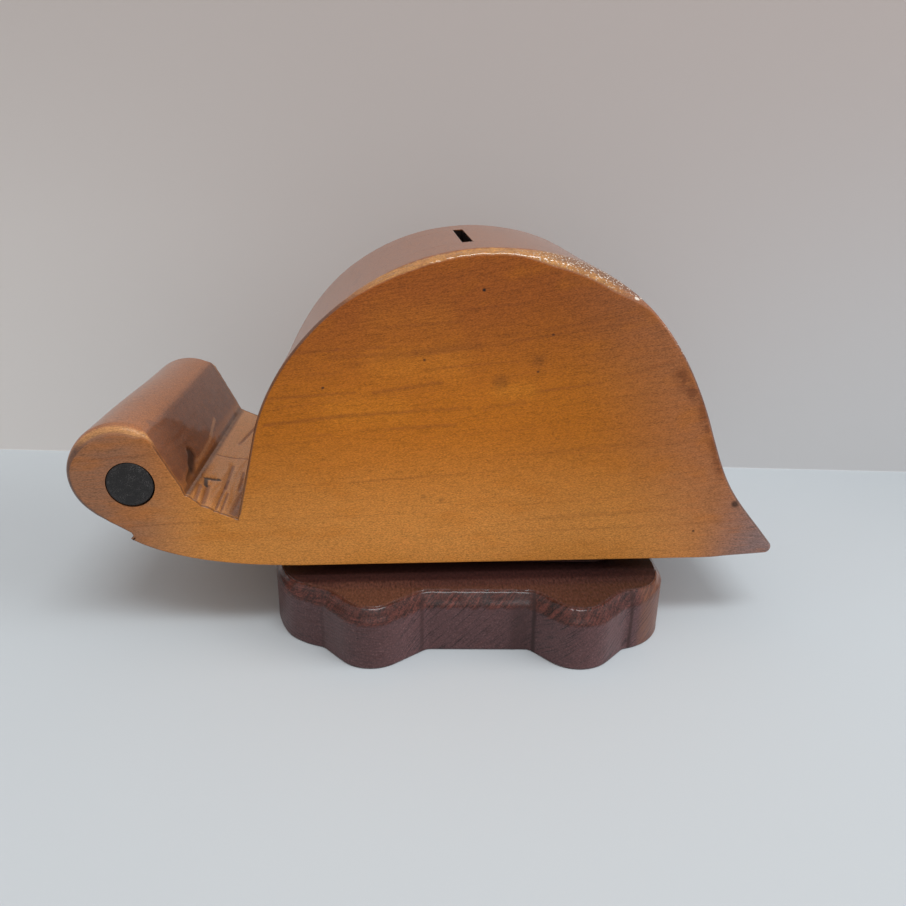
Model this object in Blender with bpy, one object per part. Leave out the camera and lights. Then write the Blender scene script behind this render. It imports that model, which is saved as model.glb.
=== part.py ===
"""Wooden coin bank in the shape of a small shelled animal on a lobed base.

Metres, +Z up, the head towards -X, the front face towards -Y, the base standing on Z = 0.
"""
import math

import bmesh
import bpy
from mathutils import Matrix, Vector

# Body outline, seen from the front
body_length = 0.2020
body_height = 0.090
head_radius = 0.0146
head_centre_height = 0.0286
head_back_angle = math.radians(58)
jaw_angle = math.radians(31.6)
jaw_length = 0.0090
mouth_height = 0.0018
mouth_depth = 0.0009
chin_angle = math.radians(36)
belly_from_nose = 0.0605
crease_from_nose = 0.0311
crease_height = 0.0231
shell_foot_from_nose = 0.0443
shell_foot_height = 0.0155
shell_front_rise = 0.0251
shell_front_angle = math.radians(76)
shell_top_from_nose = 0.11575
shell_rear_from_tail = 0.0234
shell_rear_height = 0.0403
shell_rear_angle = math.radians(69)
tail_angle = math.radians(50.4)
tail_tip_radius = 0.0020
tail_lift = 0.0010
tail_lift_length = 0.015
neck_foot_angle = math.radians(157)
neck_crease_angle = math.radians(138)

# How far each curve of the outline keeps its first and last direction, as a share of its span
shell_back_hold = (0.48, 0.36)
shell_front_hold = (0.42, 0.28)
tail_hold = (0.5, 0.5)
neck_hold = (0.33, 0.33)
chin_hold = (0.18, 0.5)

# Boards, chamber and slot
side_board_thickness = 0.0195
core_board_thickness = 0.039
glue_gap = 0.0003
edge_round = 0.0012
chamber_wall = 0.014
chamber_floor = 0.012
chamber_corner = 0.004
slot_width = 0.003
slot_ahead_of_top = 0.0062

# Eyes
eye_radius = 0.00635
eye_length = 0.008
eye_dome = 0.0006
eye_behind_head_centre = 0.0017
eye_below_head_centre = 0.0022
fit_gap = 0.0003

# Base
base_length = 0.1188
base_thickness = 0.018
base_overhang = 0.0122
base_head_corner = 0.024
base_tail_corner = 0.017
base_turn = math.radians(-3)
base_round = 0.0037
foot_from_head_end = 0.0325
foot_from_tail_end = 0.0276
foot_reach = 0.0092
foot_radius = 0.0112
foot_slope = math.radians(46)
foot_gentle_slope = math.radians(38)
seat_gap = 0.0003

# Board that lifts the body off the base
spacer_thickness = 0.0033
spacer_past_screws = 0.011
spacer_beside_screws = 0.0058
spacer_corner = 0.008

# Access hole and stopper
access_radius = 0.0127
stopper_flange_radius = 0.0155
stopper_flange_thickness = 0.0025
stopper_length = 0.012
stopper_taper = 0.0004
stopper_lift = 0.002
stopper_edge = 0.0006
finger_room = 0.002

# Screws
screw_length = 0.033
screw_radius = 0.0021
screw_head_radius = 0.0040
screw_head_height = 0.0026
screw_point_length = 0.006
screw_slot_width = 0.0010
screw_slot_depth = 0.0011
screw_recess = 0.0006
screw_spacing = 0.070
screw_from_seam = 0.0072

# Fineness of round shapes
round_steps = 32
screw_steps = 20
dome_steps = 5
edge_steps = 3
base_edge_steps = 5
smooth_below = math.radians(35)

# What follows from them
nose_x = -body_length / 2
tail_x = body_length / 2
shell_foot_x = nose_x + shell_foot_from_nose
shell_top_x = nose_x + shell_top_from_nose
shell_rear_x = tail_x - shell_rear_from_tail
spacer_bottom = base_thickness + seat_gap
body_bottom = spacer_bottom + spacer_thickness + seat_gap
core_half = core_board_thickness / 2
side_inner = core_half + glue_gap
side_outer = side_inner + side_board_thickness
base_x = (shell_foot_x + shell_rear_x) / 2
overshoot = 0.002


def polar(angle, reach):
    return Vector((math.cos(angle), math.sin(angle))) * reach


def arc(centre, radius, start, end, steps):
    return [centre + polar(start + (end - start) * i / steps, radius) for i in range(steps + 1)]


def curve(start, start_angle, end, end_angle, hold, steps):
    """Points of a cubic curve after its start, with the travel direction given at both ends."""
    span = (end - start).length
    a = start + polar(start_angle, span * hold[0])
    b = end - polar(end_angle, span * hold[1])
    points = []
    for i in range(1, steps + 1):
        t = i / steps
        s = 1 - t
        points.append(start * s**3 + a * 3 * s * s * t + b * 3 * s * t * t + end * t**3)
    return points


def clear_scene():
    for item in list(bpy.data.objects):
        bpy.data.objects.remove(item, do_unlink=True)


def material(name, colour, roughness, metallic=0.0):
    made = bpy.data.materials.new(name)
    made.use_nodes = True
    shader = made.node_tree.nodes["Principled BSDF"]
    shader.inputs["Base Color"].default_value = (*colour, 1.0)
    shader.inputs["Roughness"].default_value = roughness
    shader.inputs["Metallic"].default_value = metallic
    made.diffuse_color = (*colour, 1.0)
    return made


def add_object(name, mesh, finish=None, parent=None):
    made = bpy.data.objects.new(name, mesh)
    bpy.context.collection.objects.link(made)
    made.parent = parent
    if finish:
        mesh.materials.append(finish)
    return made


def finish_mesh(name, bm):
    bmesh.ops.recalc_face_normals(bm, faces=bm.faces)
    mesh = bpy.data.meshes.new(name)
    bm.to_mesh(mesh)
    bm.free()
    mesh.shade_smooth()
    mesh.set_sharp_from_angle(angle=smooth_below)
    return mesh


def prism(ring, travel):
    """A closed prism that starts from a ring of points and follows a vector, and its first ring."""
    bm = bmesh.new()
    first = [bm.verts.new(p) for p in ring]
    grown = bmesh.ops.extrude_face_region(bm, geom=[bm.faces.new(first)])
    moved = [v for v in grown["geom"] if isinstance(v, bmesh.types.BMVert)]
    bmesh.ops.translate(bm, verts=moved, vec=travel)
    return bm, first


def standing(outline, y):
    """An (x, z) outline as points of space at one value of Y."""
    return [(p.x, y, p.y) for p in outline]


def turned(profile, steps):
    """A closed solid of revolution of a (radius, z) profile whose ends lie on the axis."""
    bm = bmesh.new()
    line = [bm.verts.new((p[0], 0, p[1])) for p in profile]
    edges = [bm.edges.new(pair) for pair in zip(line, line[1:])]
    bmesh.ops.spin(bm, geom=line + edges, cent=(0, 0, 0), axis=(0, 0, 1), angle=math.tau,
                   steps=steps, use_merge=True)
    bmesh.ops.remove_doubles(bm, verts=bm.verts, dist=1e-6)
    return bm


def cutter(name, bm, parent=None):
    made = add_object(name, finish_mesh(name, bm), parent=parent)
    made.hide_render = True
    made.display_type = "WIRE"
    return made


def cylinder(radius, low, high):
    return turned([(0, low), (radius, low), (radius, high), (0, high)], round_steps)


def box(low, high):
    bm = bmesh.new()
    bmesh.ops.create_cube(bm, size=1)
    size = Vector(high) - Vector(low)
    bmesh.ops.scale(bm, vec=size, verts=bm.verts)
    bmesh.ops.translate(bm, vec=(Vector(high) + Vector(low)) / 2, verts=bm.verts)
    return bm


def cut(target, tool):
    step = target.modifiers.new("cut " + tool.name, "BOOLEAN")
    step.operation = "DIFFERENCE"
    step.solver = "EXACT"
    step.object = tool


def shell_outline():
    """From the tail's inflection over the top to the foot of the shell, anticlockwise."""
    rear = Vector((shell_rear_x, shell_rear_height))
    top = Vector((shell_top_x, body_height))
    foot = Vector((shell_foot_x, shell_foot_height))
    front = foot + Vector((shell_front_rise / math.tan(shell_front_angle), shell_front_rise))
    over_rear = curve(rear, math.pi - shell_rear_angle, top, math.pi, shell_back_hold, 13)
    over_front = curve(top, math.pi, front, math.pi + shell_front_angle, shell_front_hold, 13)
    return [rear] + over_rear + over_front + [foot]


def tail_outline():
    """From the underside of the tail round its tip to the shell, anticlockwise."""
    centre = Vector((tail_x - tail_tip_radius, tail_lift + tail_tip_radius))
    tip = arc(centre, tail_tip_radius, -math.pi / 2, 0, 3)
    tip += arc(centre, tail_tip_radius, 0, math.pi / 2 - tail_angle, 2)[1:]
    rear = Vector((shell_rear_x, shell_rear_height))
    rise = curve(tip[-1], math.pi - tail_angle, rear, math.pi - shell_rear_angle, tail_hold, 9)
    return tip + rise[:-1]


def head_outline():
    """From the crease behind the head round the face to the start of the belly, anticlockwise."""
    crease = Vector((nose_x + crease_from_nose, crease_height))
    centre = Vector((nose_x + head_radius, head_centre_height))
    face = arc(centre, head_radius, head_back_angle, math.pi, 16)
    face += arc(centre, head_radius, math.pi, 1.5 * math.pi - jaw_angle, 8)[1:]
    lip = face[-1] + polar(-jaw_angle, jaw_length)
    mouth = lip + Vector((mouth_depth / 2, -mouth_height / 2))
    chin = lip + Vector((-mouth_depth / 2, -mouth_height))
    belly = Vector((nose_x + belly_from_nose, 0))
    under = curve(chin, -chin_angle, belly, 0, chin_hold, 9)
    return [crease], face, [lip, mouth, chin] + under


def neck_outline():
    """From the foot of the shell to the crease, both left out."""
    foot = Vector((shell_foot_x, shell_foot_height))
    crease = Vector((nose_x + crease_from_nose, crease_height))
    return curve(foot, neck_foot_angle, crease, neck_crease_angle, neck_hold, 4)[:-1]


def lifted(points):
    return [p + Vector((0, body_bottom)) for p in points]


def body_outline():
    """The whole outline, with the points whose front edges are rounded over."""
    crease, face, under = head_outline()
    tail_start = Vector((tail_x - tail_tip_radius - tail_lift_length, 0))
    tail = tail_outline()
    shell = shell_outline()
    outline = [tail_start] + tail + shell + neck_outline() + crease + face + under
    shell_start = 1
    shell_end = shell_start + len(tail) + len(shell) - 1
    face_start = outline.index(face[0])
    face_end = face_start + len(face) - 1
    stretches = [(shell_start, shell_end), (face_start, face_end)]
    return lifted(outline), stretches


def chamber_outline():
    """The shell's inside at the wall's thickness, closed by a flat floor with rounded corners."""
    skin = tail_outline() + shell_outline()
    inner = []
    for before, here, after in zip(skin, skin[1:], skin[2:]):
        travel = (after - before).normalized()
        point = here + Vector((-travel.y, travel.x)) * chamber_wall
        if point.y > chamber_floor + chamber_corner:
            inner.append(point)
    right = Vector((inner[0].x, chamber_floor))
    left = Vector((inner[-1].x, chamber_floor))
    lean = Vector((0, chamber_corner))
    left_arc = arc(left + lean + Vector((chamber_corner, 0)), chamber_corner, math.pi, 1.5 * math.pi, 4)
    right_arc = arc(right + lean - Vector((chamber_corner, 0)), chamber_corner, -math.pi / 2, 0, 4)
    return lifted(inner + left_arc + right_arc)


def eye_axis(side):
    """Places a turned piece on the eye's axis, pointing out of the given face."""
    x = nose_x + head_radius + eye_behind_head_centre
    z = body_bottom + head_centre_height - eye_below_head_centre
    return Matrix.Translation((x, side * side_outer, z)) @ Matrix.Rotation(-side * math.pi / 2, 4, "X")


def side_board(name, side, finish):
    outline, stretches = body_outline()
    bm, outer = prism(standing(outline, side * side_outer), (0, -side * side_board_thickness, 0))
    rounded = []
    for first, last in stretches:
        rounded += [bm.edges.get((outer[i], outer[i + 1])) for i in range(first, last)]
    bmesh.ops.bevel(bm, geom=rounded, offset=edge_round, segments=edge_steps, profile=0.5, affect="EDGES")
    board = add_object(name, finish_mesh(name, bm), finish)
    bore = cutter(name + "_eye_bore", cylinder(eye_radius + fit_gap, -eye_length - fit_gap, overshoot))
    bore.matrix_world = eye_axis(side)
    cut(board, bore)
    return board


def core_board(finish, base_frame):
    bm = prism(standing(body_outline()[0], -core_half), (0, core_board_thickness, 0))[0]
    board = add_object("core_board", finish_mesh("core_board", bm), finish)
    deep = core_half + overshoot
    chamber = cutter("chamber_cut", prism(standing(chamber_outline(), -deep), (0, 2 * deep, 0))[0])
    slot_x = shell_top_x - slot_ahead_of_top
    top = body_bottom + body_height
    slot = cutter("slot_cut", box((slot_x - slot_width / 2, -deep, top - chamber_wall - overshoot * 3),
                                  (slot_x + slot_width / 2, deep, top + overshoot)))
    access = cutter("core_access_cut", cylinder(access_radius, base_thickness - overshoot,
                                                body_bottom + chamber_floor + overshoot), base_frame)
    for tool in (chamber, slot, access):
        cut(board, tool)
    return board


def eye_plug(name, side, finish):
    slices = [math.pi / 2 * i / dome_steps for i in range(dome_steps, -1, -1)]
    dome = [(eye_radius * math.sin(a), eye_dome * math.cos(a)) for a in slices]
    profile = [(0, -eye_length), (eye_radius, -eye_length)] + dome
    plug = add_object(name, finish_mesh(name, turned(profile, round_steps)), finish)
    plug.matrix_world = eye_axis(side)
    return plug


def bearing(start, end):
    return math.atan2(end.y - start.y, end.x - start.x) % math.tau


def meeting(start, angle, centre, radius):
    """Where a line from a point outside a circle first reaches it."""
    travel = polar(angle, 1)
    away = start - centre
    along = away.dot(travel)
    return start - travel * (along + math.sqrt(along**2 - away.length_squared + radius**2))


def foot_side():
    """The front side of the base from its head end to its tail end, with two straight-flanked feet."""
    edge = -(side_outer + base_overhang)
    half = base_length / 2
    head_corner = Vector((-half + base_head_corner, edge + base_head_corner))
    tail_corner = Vector((half - base_tail_corner, edge + base_tail_corner))
    foot_y = edge - foot_reach + foot_radius
    down = 1.5 * math.pi
    head_foot = arc(Vector((-half + foot_from_head_end, foot_y)), foot_radius,
                    down - foot_slope, down + foot_gentle_slope, 12)
    tail_foot = arc(Vector((half - foot_from_tail_end, foot_y)), foot_radius,
                    down - foot_slope, down + foot_slope, 12)
    head_valley = meeting(head_foot[0], math.pi - foot_slope, head_corner, base_head_corner)
    tail_valley = meeting(tail_foot[-1], foot_slope, tail_corner, base_tail_corner)
    head_run = (edge - head_foot[-1].y) / math.tan(foot_gentle_slope)
    tail_run = (edge - tail_foot[0].y) / math.tan(foot_slope)
    points = arc(head_corner, base_head_corner, math.pi, bearing(head_corner, head_valley), 9)
    points += head_foot + [Vector((head_foot[-1].x + head_run, edge))]
    points += [Vector((tail_foot[0].x - tail_run, edge))] + tail_foot
    points += arc(tail_corner, base_tail_corner, bearing(tail_corner, tail_valley), math.tau, 7)
    return points


def screw_places():
    y = side_inner + screw_from_seam
    x = screw_spacing / 2
    return [(-x, -y), (x, -y), (x, y), (-x, y)]


def foot_base(finish, base_frame):
    front = foot_side()
    outline = front + [-p for p in front]
    bm, top = prism([(p.x, p.y, base_thickness) for p in outline], (0, 0, -base_thickness))
    rim = [bm.edges.get(pair) for pair in zip(top, top[1:] + top[:1])]
    bmesh.ops.bevel(bm, geom=rim, offset=base_round, segments=base_edge_steps, profile=0.5, affect="EDGES")
    base = add_object("foot_base", finish_mesh("foot_base", bm), finish, base_frame)
    seat = stopper_lift + stopper_flange_thickness + fit_gap
    wide = stopper_flange_radius + finger_room
    profile = [(0, -overshoot), (wide, -overshoot), (wide, seat), (access_radius, seat),
               (access_radius, base_thickness + overshoot), (0, base_thickness + overshoot)]
    cut(base, cutter("base_access_cut", turned(profile, round_steps), base_frame))
    for number, place in enumerate(screw_places(), 1):
        hole = cutter(f"base_screw_hole_{number}", turned(screw_hole_profile(), screw_steps), base_frame)
        hole.location = (*place, 0)
        cut(base, hole)
    return base


def spacer_board(finish, base_frame):
    """Thin board between base and body, with the access hole and the screws through it."""
    wide = screw_spacing / 2 + spacer_past_screws
    deep = side_inner + screw_from_seam + spacer_beside_screws
    outline = []
    for number, (x, y) in enumerate([(wide, deep), (-wide, deep), (-wide, -deep), (wide, -deep)]):
        inward = Vector((math.copysign(spacer_corner, x), math.copysign(spacer_corner, y)))
        start = number * math.pi / 2
        outline += arc(Vector((x, y)) - inward, spacer_corner, start, start + math.pi / 2, 4)
    bm = prism([(p.x, p.y, spacer_bottom) for p in outline], (0, 0, spacer_thickness))[0]
    board = add_object("spacer_board", finish_mesh("spacer_board", bm), finish, base_frame)
    low, high = spacer_bottom - overshoot, spacer_bottom + spacer_thickness + overshoot
    cut(board, cutter("spacer_access_cut", cylinder(access_radius, low, high), base_frame))
    for number, place in enumerate(screw_places(), 1):
        shank = [(0, low), (screw_radius + fit_gap, low), (screw_radius + fit_gap, high), (0, high)]
        hole = cutter(f"spacer_screw_hole_{number}", turned(shank, screw_steps), base_frame)
        hole.location = (*place, 0)
        cut(board, hole)
    return board


def screw_hole_profile():
    """Countersunk clearance hole up from the underside, wider than the screw all round."""
    shank = screw_radius + fit_gap
    head = screw_head_radius + fit_gap
    cone = screw_recess + screw_head_height
    return [(0, -overshoot), (head, -overshoot), (head, screw_recess), (shank, cone),
            (shank, base_thickness + overshoot), (0, base_thickness + overshoot)]


def screw_profile():
    low = screw_recess + fit_gap
    cone = low + screw_head_height
    tip = low + screw_length
    return [(0, low), (screw_head_radius, low), (screw_radius, cone),
            (screw_radius, tip - screw_point_length), (0, tip)]


def base_screw(number, place, finish, base_frame):
    name = f"base_screw_{number}"
    low = screw_recess + fit_gap
    screw = add_object(name, finish_mesh(name, turned(screw_profile(), screw_steps)), finish, base_frame)
    screw.location = (*place, 0)
    wide = screw_head_radius + overshoot
    slot = cutter(name + "_slot", box((-wide, -screw_slot_width / 2, low - overshoot),
                                      (wide, screw_slot_width / 2, low + screw_slot_depth)), base_frame)
    slot.location = (*place, 0)
    cut(screw, slot)
    return screw


def pilot_hole(board, number, place, base_frame):
    """The screw's hole in a side board, a little deeper and wider than the screw."""
    top = screw_recess + screw_length + 2 * fit_gap
    reach = screw_radius + fit_gap
    profile = [(0, base_thickness - overshoot), (reach, base_thickness - overshoot),
               (reach, top - screw_point_length + fit_gap), (0, top + fit_gap)]
    hole = cutter(f"pilot_hole_{number}", turned(profile, screw_steps), base_frame)
    hole.location = (*place, 0)
    cut(board, hole)


def coin_stopper(finish, base_frame):
    """Rubber stopper whose flange seats in the base, origin on its axis."""
    low = stopper_lift
    seat = low + stopper_flange_thickness
    reach = access_radius - fit_gap
    edge = stopper_edge
    flange = stopper_flange_radius
    profile = [(0, low), (flange - edge, low), (flange, low + edge), (flange, seat), (reach, seat),
               (reach - stopper_taper, seat + stopper_length - edge),
               (reach - stopper_taper - edge, seat + stopper_length), (0, seat + stopper_length)]
    return add_object("coin_stopper", finish_mesh("coin_stopper", turned(profile, round_steps)),
                      finish, base_frame)


def main():
    clear_scene()
    board_wood = material("board_wood", (0.46, 0.21, 0.06), 0.3)
    core_wood = material("core_wood", (0.44, 0.20, 0.065), 0.32)
    eye_black = material("eye_black", (0.018, 0.018, 0.02), 0.45)
    red_lacquer = material("red_lacquer", (0.085, 0.022, 0.018), 0.18)
    dark_stain = material("dark_stain", (0.05, 0.02, 0.018), 0.4)
    stopper_rubber = material("stopper_rubber", (0.03, 0.03, 0.03), 0.7)
    screw_steel = material("screw_steel", (0.55, 0.5, 0.4), 0.35, 1.0)

    base_frame = bpy.data.objects.new("base_frame", None)
    bpy.context.collection.objects.link(base_frame)
    base_frame.location = (base_x, 0, 0)
    base_frame.rotation_euler = (0, 0, base_turn)

    boards = {-1: side_board("front_board", -1, board_wood), 1: side_board("back_board", 1, board_wood)}
    core_board(core_wood, base_frame)
    eye_plug("front_eye", -1, eye_black)
    eye_plug("back_eye", 1, eye_black)
    foot_base(red_lacquer, base_frame)
    spacer_board(dark_stain, base_frame)
    coin_stopper(stopper_rubber, base_frame)
    for number, place in enumerate(screw_places(), 1):
        base_screw(number, place, screw_steel, base_frame)
        pilot_hole(boards[-1 if place[1] < 0 else 1], number, place, base_frame)


main()
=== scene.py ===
from math import atan2, copysign, cos, exp, pi, radians, sin, sqrt, tan, tau

import bmesh
import bpy
from mathutils import Matrix, Vector, noise


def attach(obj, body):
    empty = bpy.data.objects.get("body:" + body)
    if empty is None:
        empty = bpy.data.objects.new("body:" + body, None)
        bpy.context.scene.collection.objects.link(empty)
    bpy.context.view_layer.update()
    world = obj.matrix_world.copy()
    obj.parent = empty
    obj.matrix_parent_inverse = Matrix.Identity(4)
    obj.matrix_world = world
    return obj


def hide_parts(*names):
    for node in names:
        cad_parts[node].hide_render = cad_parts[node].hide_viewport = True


# Wooden coin bank: finer pieces, finishes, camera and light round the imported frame.
# Metres, +Z up, the head towards -X, the front face towards -Y.

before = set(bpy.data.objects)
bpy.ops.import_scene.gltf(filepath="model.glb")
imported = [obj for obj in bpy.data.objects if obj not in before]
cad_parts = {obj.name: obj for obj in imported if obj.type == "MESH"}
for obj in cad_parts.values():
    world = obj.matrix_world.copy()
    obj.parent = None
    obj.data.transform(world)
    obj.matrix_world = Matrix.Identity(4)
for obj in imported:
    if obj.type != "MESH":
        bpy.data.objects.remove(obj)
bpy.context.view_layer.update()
mm = 0.001
clearance = 0.3 * mm
print("frame loaded")

# Body outline and boards
body = {
    "length": 0.2020, "height": 0.090, "bottom": 0.0219,
    "headRadius": 0.0146, "headCentreHeight": 0.0286, "headBackAngle": 58, "jawAngle": 31.6,
    "jawLength": 0.0090, "mouthHeight": 0.0018, "mouthDepth": 0.0009, "chinAngle": 36,
    "bellyFromNose": 0.0605, "creaseFromNose": 0.0311, "creaseHeight": 0.0231,
    "shellFootFromNose": 0.0443, "shellFootHeight": 0.0155, "shellFrontRise": 0.0251,
    "shellFrontAngle": 76, "shellTopFromNose": 0.11575, "shellRearFromTail": 0.0234,
    "shellRearHeight": 0.0403, "shellRearAngle": 69, "tailAngle": 50.4, "tailTipRadius": 0.0020,
    "tailLift": 0.0010, "tailLiftLength": 0.015, "neckFootAngle": 157, "neckCreaseAngle": 138,
    "seamAt": 0.01965, "faceAt": 0.0393, "coreHalf": 0.0196,
    "spacing": 0.7 * mm, "shellSpacing": 0.36 * mm, "fineSpacing": 0.4 * mm, "rowSpacing": 0.8 * mm,
}
# How wide the front and back edges are worked, for each stretch of the outline
edges = {
    "under": 0.5 * mm, "tail": 1.0 * mm, "shell": 1.0 * mm, "neck": 0.3 * mm, "nape": 0.35 * mm,
    "face": 1.8 * mm, "crown": 1.6 * mm, "jaw": 0.8 * mm, "mouth": 0.3 * mm, "chin": 0.6 * mm,
    "bandDrop": 2.0 * mm, "bandDepth": 2.8 * mm, "bandFrom": -0.020, "bandTo": 0.025,
    "raspSize": 3.8 * mm, "raspTo": 0.052, "bandRoughness": 0.20 * mm, "raspRoughness": 0.34 * mm,
    "raspGrain": 1.0 * mm, "ring": 0.4 * mm, "waviness": 0.10 * mm, "ridgeSoftness": 5,
    "headSwell": 0.6 * mm, "neckSwell": 1.2 * mm, "flare": 0.8 * mm, "tailFlare": 0.4 * mm,
}
# Shares of an edge's drop and depth at each row, from the wall to the face
profiles = {
    "round": [(1 - cos(k * pi / 32), 1 - sin(k * pi / 32)) for k in range(17)],
    "flat": [(0.405 * k / 7, 1 - 0.753 * k / 7) for k in range(8)] +
            [(1 - 0.625 * sin(k * 0.13), 0.357 * (1 - cos(k * 0.13))) for k in range(8, -1, -1)],
    "chopped": [(0, 0), (0.02, 0.05)] + [(0.02 + 0.072 * k, 0.05 + 0.09 * k) for k in range(1, 11)] +
               [(0.81, 0.982), (0.89, 0.994), (1, 1)],
}
chamber = {"wall": 0.014, "floor": 0.012, "corner": 0.004, "slotWidth": 0.003, "slotAheadOfTop": 0.0062,
           "accessRadius": 0.0127}
eye = {"radius": 0.00635, "length": 0.008, "dome": 0.6 * mm, "behindHeadCentre": 0.0017,
       "belowHeadCentre": 0.0022, "boreRadius": 0.00665, "boreShift": (0.12 * mm, -0.10 * mm)}
base = {
    "x": 0.01045, "turn": -3, "length": 0.1188, "thickness": 0.018, "front": 0.0515,
    "headCorner": 0.024, "tailCorner": 0.017, "round": 3.7 * mm, "bottomRound": 0.5 * mm,
    "footFromHeadEnd": 0.0325, "footFromTailEnd": 0.0276, "footReach": 0.0092,
    "footRadius": 0.0112, "footSlope": 46, "gentleSlope": 38, "spacing": 0.5 * mm, "rowSpacing": 0.3 * mm,
    "headInset": 1.2 * mm, "endShare": 0.45,
}
spacer = {"bottom": 0.0183, "thickness": 0.0033, "halfLength": 0.0460, "halfDepth": 0.0328,
          "corner": 0.008, "bevel": 0.4 * mm}
stopper = {"low": 0.002, "flangeRadius": 0.0155, "flangeThickness": 0.0025, "length": 0.012,
           "radius": 0.0124, "taper": 0.4 * mm, "ribs": 3, "ribHeight": 0.35 * mm}
screw = {"low": 0.0009, "length": 0.033, "radius": 0.0021, "coreRadius": 0.00155, "headRadius": 0.0040,
         "headHeight": 0.0026, "pointLength": 0.006, "slotWidth": 0.0010, "slotDepth": 0.0011,
         "pitch": 0.0014, "halfSpacing": 0.035, "fromMiddle": 0.027, "holeRadius": 0.0024, "recess": 0.0006}

noseX, tailX = -body["length"] / 2, body["length"] / 2
baseMatrix = Matrix.Translation((base["x"], 0, 0)) @ Matrix.Rotation(radians(base["turn"]), 4, "Z")


def polar(angle, reach):
    return Vector((cos(angle), sin(angle))) * reach


def arc(centre, radius, start, end, steps):
    return [centre + polar(start + (end - start) * i / steps, radius) for i in range(steps + 1)]


def curve(start, startAngle, end, endAngle, hold, steps):
    span = (end - start).length
    a = start + polar(startAngle, span * hold[0])
    b = end - polar(endAngle, span * hold[1])
    points = []
    for i in range(steps + 1):
        t = i / steps
        s = 1 - t
        points.append(start * s**3 + a * 3 * s * s * t + b * 3 * s * t * t + end * t**3)
    return points


def resampled(points, spacing):
    along = [0]
    for a, b in zip(points, points[1:]):
        along.append(along[-1] + (b - a).length)
    count = max(1, round(along[-1] / spacing))
    result = []
    k = 0
    for i in range(count + 1):
        target = along[-1] * i / count
        while k < len(points) - 2 and along[k + 1] < target:
            k += 1
        share = (target - along[k]) / max(along[k + 1] - along[k], 1e-12)
        result.append(points[k].lerp(points[k + 1], min(share, 1)))
    return result


def ease(low, high, value):
    t = min(max((value - low) / (high - low), 0), 1)
    return t * t * (3 - 2 * t)


def rough(point, size, seed=0):
    return noise.noise(Vector(point) / size + Vector((seed * 7.3, seed * 3.1, seed * 5.7)))


def bodyStretches():
    # Stretches of the outline in order, anticlockwise seen from the front, sharing their end points.
    at = lambda x, z: Vector((x, z))
    rad = {key: radians(body[key]) for key in body if key.endswith("Angle")}
    tip = at(tailX - body["tailTipRadius"], body["tailLift"] + body["tailTipRadius"])
    tipArc = arc(tip, body["tailTipRadius"], -pi / 2, pi / 2 - rad["tailAngle"], 12)
    rear = at(tailX - body["shellRearFromTail"], body["shellRearHeight"])
    top = at(noseX + body["shellTopFromNose"], body["height"])
    foot = at(noseX + body["shellFootFromNose"], body["shellFootHeight"])
    rise = body["shellFrontRise"]
    front = foot + at(rise / tan(rad["shellFrontAngle"]), rise)
    crease = at(noseX + body["creaseFromNose"], body["creaseHeight"])
    head = at(noseX + body["headRadius"], body["headCentreHeight"])
    face = arc(head, body["headRadius"], rad["headBackAngle"], 1.5 * pi - rad["jawAngle"], 60)
    lip = face[-1] + polar(-rad["jawAngle"], body["jawLength"])
    mouth = lip + at(body["mouthDepth"] / 2, -body["mouthHeight"] / 2)
    chin = lip + at(-body["mouthDepth"] / 2, -body["mouthHeight"])
    belly = at(noseX + body["bellyFromNose"], 0)
    tailStart = at(tip.x - body["tailLiftLength"], 0)
    tail = tipArc + curve(tipArc[-1], pi - rad["tailAngle"], rear, pi - rad["shellRearAngle"],
                          (0.5, 0.5), 60)[1:]
    shell = curve(rear, pi - rad["shellRearAngle"], top, pi, (0.48, 0.36), 120)
    shell += curve(top, pi, front, pi + rad["shellFrontAngle"], (0.42, 0.28), 120)[1:] + [foot]
    neck = curve(foot, rad["neckFootAngle"], crease, rad["neckCreaseAngle"], (0.33, 0.33), 40)
    under = curve(chin, -rad["chinAngle"], belly, 0, (0.18, 0.5), 60)
    coarse, fine = body["spacing"], body["fineSpacing"]
    return [("under", resampled([belly, tailStart], coarse * 1.5)),
            ("tail", resampled([tailStart, tipArc[0]], coarse)[:-1] + resampled(tail, coarse)),
            ("shell", resampled(shell, body["shellSpacing"])),
            ("neck", resampled(neck, fine)),
            ("nape", resampled([crease, face[0]], fine)),
            ("face", resampled(face, coarse * 0.8)),
            ("jaw", resampled([face[-1], lip], coarse)),
            ("mouth", resampled([lip, mouth, chin], fine)),
            ("chin", resampled(under, coarse))]


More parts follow.
